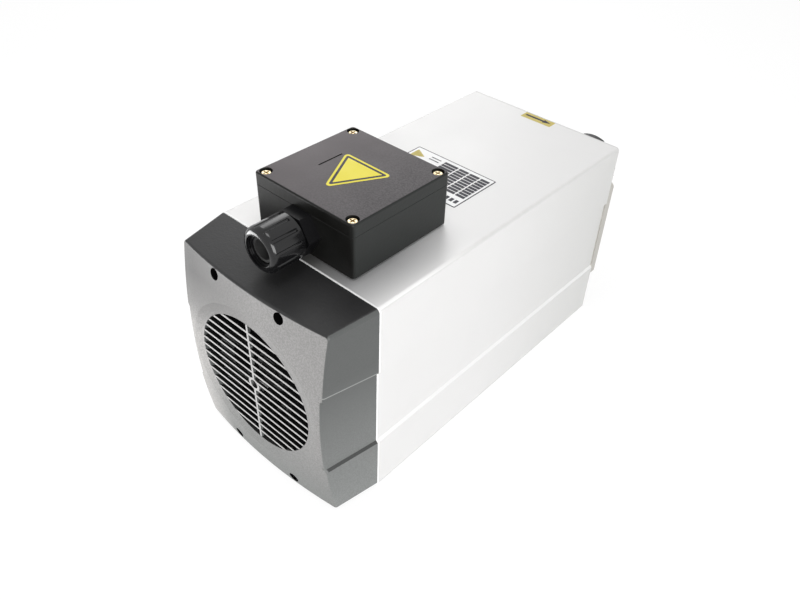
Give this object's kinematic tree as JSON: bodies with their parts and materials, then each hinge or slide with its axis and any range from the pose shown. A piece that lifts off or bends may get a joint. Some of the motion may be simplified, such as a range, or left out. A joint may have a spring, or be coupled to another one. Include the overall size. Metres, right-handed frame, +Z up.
{
  "type": "motor spindle",
  "caption": "Square air-cooled motor spindle with a collet nose, a fan cover with a round louvred grille, a terminal box and a cable gland.",
  "frame": {"origin": "centre of the four tapped holes in the base face, under the spindle axis", "axes": "+Y along the spindle axis towards the collet, +Z up out of the base towards the terminal box, +X to the right seen from the fan end"},
  "size_m": [0.1274, 0.3682, 0.178],
  "materials": {
    "housing": "fine satin blasted and clear anodised",
    "flange": "machined, satin",
    "cap": "turned",
    "shield": "machined casting",
    "screw_black": "black oxide",
    "screw_brass": "yellow zinc plating",
    "core": "stacked laminations",
    "winding": "enamelled copper, varnished",
    "bearing": "ground and polished",
    "cage": "machined brass",
    "shaft": "ground",
    "cage_ring": "cast",
    "spring": "spring steel",
    "collet": "ground and hardened",
    "nut": "black oxide",
    "fan": "moulded",
    "black_plastic": "moulded, fine grained",
    "gasket": "soft",
    "block": "moulded",
    "terminal": "turned",
    "gland": "moulded nylon"
  },
  "bodies": {
    "housing": {"housing_extrusion": "housing", "front_flange": "flange", "flange_screws": "screw_black", "front_cap": "cap", "cap_screws": "screw_black", "rear_end_shield": "shield", "shield_screws": "screw_brass", "stator_core": "core", "stator_winding": "winding", "front_bearing_outer_rings": "bearing", "bearing_outer_spacer": "shaft", "front_preload_spring": "spring", "rear_bearing_outer_ring": "bearing", "rear_preload_spring": "spring", "fan_cover": "black_plastic", "cover_screws": "screw_black", "box_seal": "gasket", "terminal_box_base": "black_plastic", "terminal_box_lid": "black_plastic", "lid_seal": "gasket", "lid_screws": "screw_brass", "box_screws": "screw_brass", "terminal_block": "block", "terminal_studs": "terminal", "earth_post": "terminal", "earth_screw": "screw_brass", "gland_body": "gland", "gland_locknut": "gland", "gland_seal": "gasket"},
    "rotor": {"spindle_shaft": "shaft", "rotor_core": "core", "rotor_end_rings": "cage_ring", "front_bearing_inner_rings": "bearing", "bearing_inner_spacer": "shaft", "rear_bearing_inner_ring": "bearing", "bearing_locknut": "shaft", "slinger_ring": "cap", "rear_circlip": "spring", "cooling_fan": "fan", "fan_retaining_ring": "spring"},
    "front_balls": {"front_bearing_balls": "bearing", "front_bearing_cages": "cage"},
    "rear_balls": {"rear_bearing_balls": "bearing", "rear_bearing_cage": "cage"},
    "collet": {"collet": "collet"},
    "nut": {"collet_nut": "nut", "nut_pull_ring": "collet"},
    "gland_ring": {"gland_claw": "gland"},
    "gland_cap": {"gland_nut": "gland"}
  },
  "joints": [
    {"name": "spindle_spin", "type": "hinge", "parent": "housing", "child": "rotor", "pos_m": [0, 0, 0.0715], "axis": [0, 1, 0], "continuous": true},
    {"name": "front_balls_spin", "type": "hinge", "parent": "housing", "child": "front_balls", "pos_m": [0, 0, 0.0715], "axis": [0, 1, 0], "continuous": true},
    {"name": "rear_balls_spin", "type": "hinge", "parent": "housing", "child": "rear_balls", "pos_m": [0, 0, 0.0715], "axis": [0, 1, 0], "continuous": true},
    {"name": "collet_slide", "type": "slide", "parent": "rotor", "child": "collet", "axis": [0, 1, 0], "range_m": [0, 0.006]},
    {"name": "collet_nut_turn", "type": "hinge", "parent": "collet", "child": "nut", "pos_m": [0, 0, 0.0715], "axis": [0, 1, 0], "range_deg": [0, 1440]},
    {"name": "gland_ring_slide", "type": "slide", "parent": "housing", "child": "gland_ring", "axis": [0, -1, 0], "range_m": [0, 0.003]},
    {"name": "gland_cap_turn", "type": "hinge", "parent": "gland_ring", "child": "gland_cap", "pos_m": [0, -0.13, 0.1587], "axis": [0, -1, 0], "range_deg": [0, 720]}
  ],
  "couplings": [
    {"joint": "front_balls_spin", "follows": "spindle_spin", "ratio": 0.412},
    {"joint": "rear_balls_spin", "follows": "spindle_spin", "ratio": 0.4},
    {"joint": "collet_slide", "follows": "collet_nut_turn", "m_per_rad": 0.00023873},
    {"joint": "gland_ring_slide", "follows": "gland_cap_turn", "m_per_rad": 0.00023873}
  ]
}
